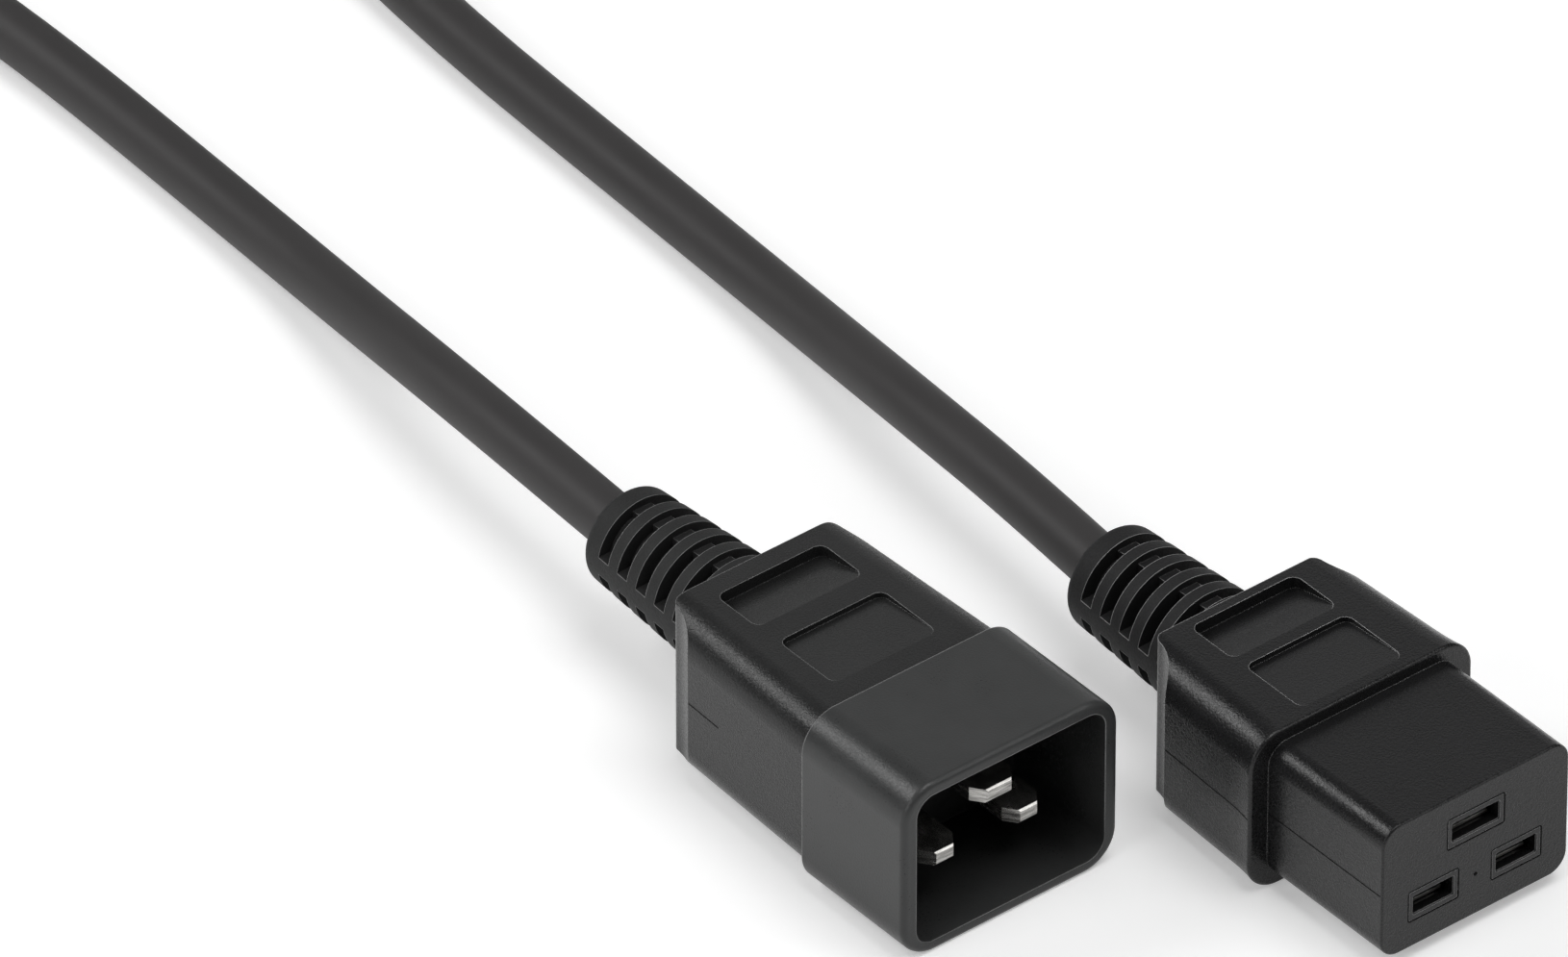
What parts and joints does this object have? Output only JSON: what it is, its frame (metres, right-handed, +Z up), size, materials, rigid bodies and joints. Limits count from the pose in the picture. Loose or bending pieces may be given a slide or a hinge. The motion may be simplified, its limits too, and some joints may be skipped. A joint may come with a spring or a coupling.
{
  "type": "c19 power connector",
  "caption": "Moulded female power connector with slotted strain relief, on a round black cord that is coiled behind it and ends in the matching male plug with a shroud and flat pins.",
  "frame": {"origin": "bottom centre of the female connector's own box, on the surface that it lies on", "axes": "+X along the connector towards its mating face, +Y to its left, +Z up with the earth contact on top"},
  "size_m": [0.4117, 0.1032, 0.0255],
  "materials": {
    "overmoulding": "soft PVC overmoulding, fine moulded grain with a satin sheen",
    "plug_overmoulding": "PVC overmoulding, smoother and a little glossier",
    "contact_carrier": "hard moulded nylon, satin",
    "shroud": "hard moulded plastic, matte dark grey",
    "contact_sheet": "tin plated sheet",
    "pin": "nickel plated, smooth",
    "copper": "bare stranded copper",
    "core_earth": "green insulation",
    "core_line": "brown insulation",
    "core_neutral": "blue insulation",
    "sheath": "smooth PVC cord sheath, soft sheen",
    "strap": "black woven hook-and-loop strap"
  },
  "bodies": {
    "root": {"c19_housing": "overmoulding", "c19_contact_carrier": "contact_carrier", "c19_contact_earth": "contact_sheet", "c19_contact_line": "contact_sheet", "c19_contact_neutral": "contact_sheet", "c19_core_earth": "core_earth", "c19_core_line": "core_line", "c19_core_neutral": "core_neutral", "c19_strand_earth": "copper", "c19_strand_line": "copper", "c19_strand_neutral": "copper", "c19_sheath_end": "sheath", "c20_housing": "plug_overmoulding", "c20_shroud": "shroud", "c20_pin_earth": "pin", "c20_pin_line": "pin", "c20_pin_neutral": "pin", "c20_core_earth": "core_earth", "c20_core_line": "core_line", "c20_core_neutral": "core_neutral", "c20_strand_earth": "copper", "c20_strand_line": "copper", "c20_strand_neutral": "copper", "c20_sheath_end": "sheath", "cord_from_c19": "sheath", "cord_to_c20": "sheath", "cord_coil": "sheath", "coil_tie_near": "strap", "coil_tie_far": "strap"}
  },
  "joints": []
}
